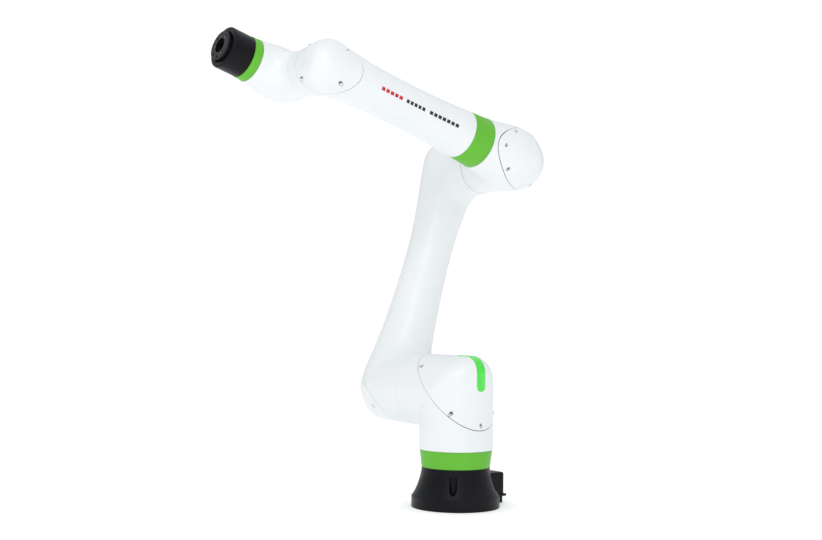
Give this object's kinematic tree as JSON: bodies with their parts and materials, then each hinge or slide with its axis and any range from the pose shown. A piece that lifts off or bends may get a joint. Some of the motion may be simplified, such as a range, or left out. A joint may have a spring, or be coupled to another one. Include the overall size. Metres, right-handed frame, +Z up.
{
  "type": "collaborative robot arm",
  "caption": "Six-axis collaborative robot arm with rounded white links, coloured joint bands, a flared black base, a status light strip and a black tool end with a bolting flange.",
  "frame": {"origin": "centre of the round base's bottom face, on the first joint's axis", "axes": "+Z up along the first joint's axis, +X to the front where the forearm reaches, +Y to the left; the upper arm runs on the -Y side"},
  "size_m": [0.7564, 0.3923, 0.9884],
  "materials": {
    "white_shell": "satin white coat",
    "black_casting": "fine textured black coat",
    "green_band": "satin green",
    "light_lens": "translucent green lens",
    "steel": "machined",
    "motor": "lacquered laminations and windings",
    "screw": "plated",
    "flange": "black anodised",
    "socket": "moulded"
  },
  "bodies": {
    "base": {"base_casting": "black_casting", "base_band": "green_band", "connector_box": "black_casting", "power_socket": "socket", "signal_socket": "socket", "j1_circular_spline": "steel", "j1_motor_stator": "motor", "j1_rotor_shaft": "steel"},
    "shoulder": {"shoulder_housing": "white_shell", "shoulder_cover": "white_shell", "status_light_strip": "light_lens", "shoulder_cover_screws": "screw", "j1_output_hub": "steel", "j2_circular_spline": "steel", "j2_motor_stator": "motor", "j2_rotor_shaft": "steel"},
    "upper_arm": {"upper_arm_housing": "white_shell", "upper_arm_lower_cover": "white_shell", "upper_arm_upper_cover": "white_shell", "upper_arm_cover_screws": "screw", "j2_output_hub": "steel", "j3_circular_spline": "steel", "j3_motor_stator": "motor", "j3_rotor_shaft": "steel"},
    "elbow": {"elbow_housing": "white_shell", "elbow_cover": "white_shell", "elbow_cover_screws": "screw", "elbow_band": "green_band", "j3_output_hub": "steel", "j4_circular_spline": "steel", "j4_motor_stator": "motor", "j4_rotor_shaft": "steel"},
    "forearm": {"forearm_housing": "white_shell", "knuckle_cover": "white_shell", "knuckle_cover_screws": "screw", "j4_output_hub": "steel", "j5_circular_spline": "steel", "j5_motor_stator": "motor", "j5_rotor_shaft": "steel"},
    "wrist": {"wrist_housing": "white_shell", "wrist_cover": "white_shell", "wrist_cover_screws": "screw", "wrist_band": "green_band", "j5_output_hub": "steel", "j6_circular_spline": "steel", "j6_motor_stator": "motor", "j6_rotor_shaft": "steel"},
    "tool": {"tool_housing": "black_casting", "tool_flange": "flange", "tool_flange_screws": "screw", "j6_output_hub": "steel"}
  },
  "joints": [
    {"name": "j1_turn", "type": "hinge", "parent": "base", "child": "shoulder", "pos_m": [0, 0, 0.245], "axis": [0, 0, 1], "range_deg": [-190, 190]},
    {"name": "j2_shoulder", "type": "hinge", "parent": "shoulder", "child": "upper_arm", "pos_m": [0, -0.112, 0.245], "axis": [0, 1, 0], "range_deg": [-161.9, 198.1]},
    {"name": "j3_elbow", "type": "hinge", "parent": "upper_arm", "child": "elbow", "pos_m": [-0.16776, -0.112, 0.75828], "axis": [0, 1, 0], "range_deg": [-235, 50]},
    {"name": "j4_forearm_roll", "type": "hinge", "parent": "elbow", "child": "forearm", "pos_m": [-0.00139, 0, 0.80458], "axis": [0.9634, 0, 0.2681], "range_deg": [-190, 190]},
    {"name": "j5_wrist", "type": "hinge", "parent": "forearm", "child": "wrist", "pos_m": [0.35247, -0.075, 0.90304], "axis": [0, -1, 0], "range_deg": [-179, 179]},
    {"name": "j6_tool_roll", "type": "hinge", "parent": "wrist", "child": "tool", "pos_m": [0.457, -0.15, 0.93321], "axis": [0.9608, 0, 0.2773], "range_deg": [-190, 190]}
  ]
}
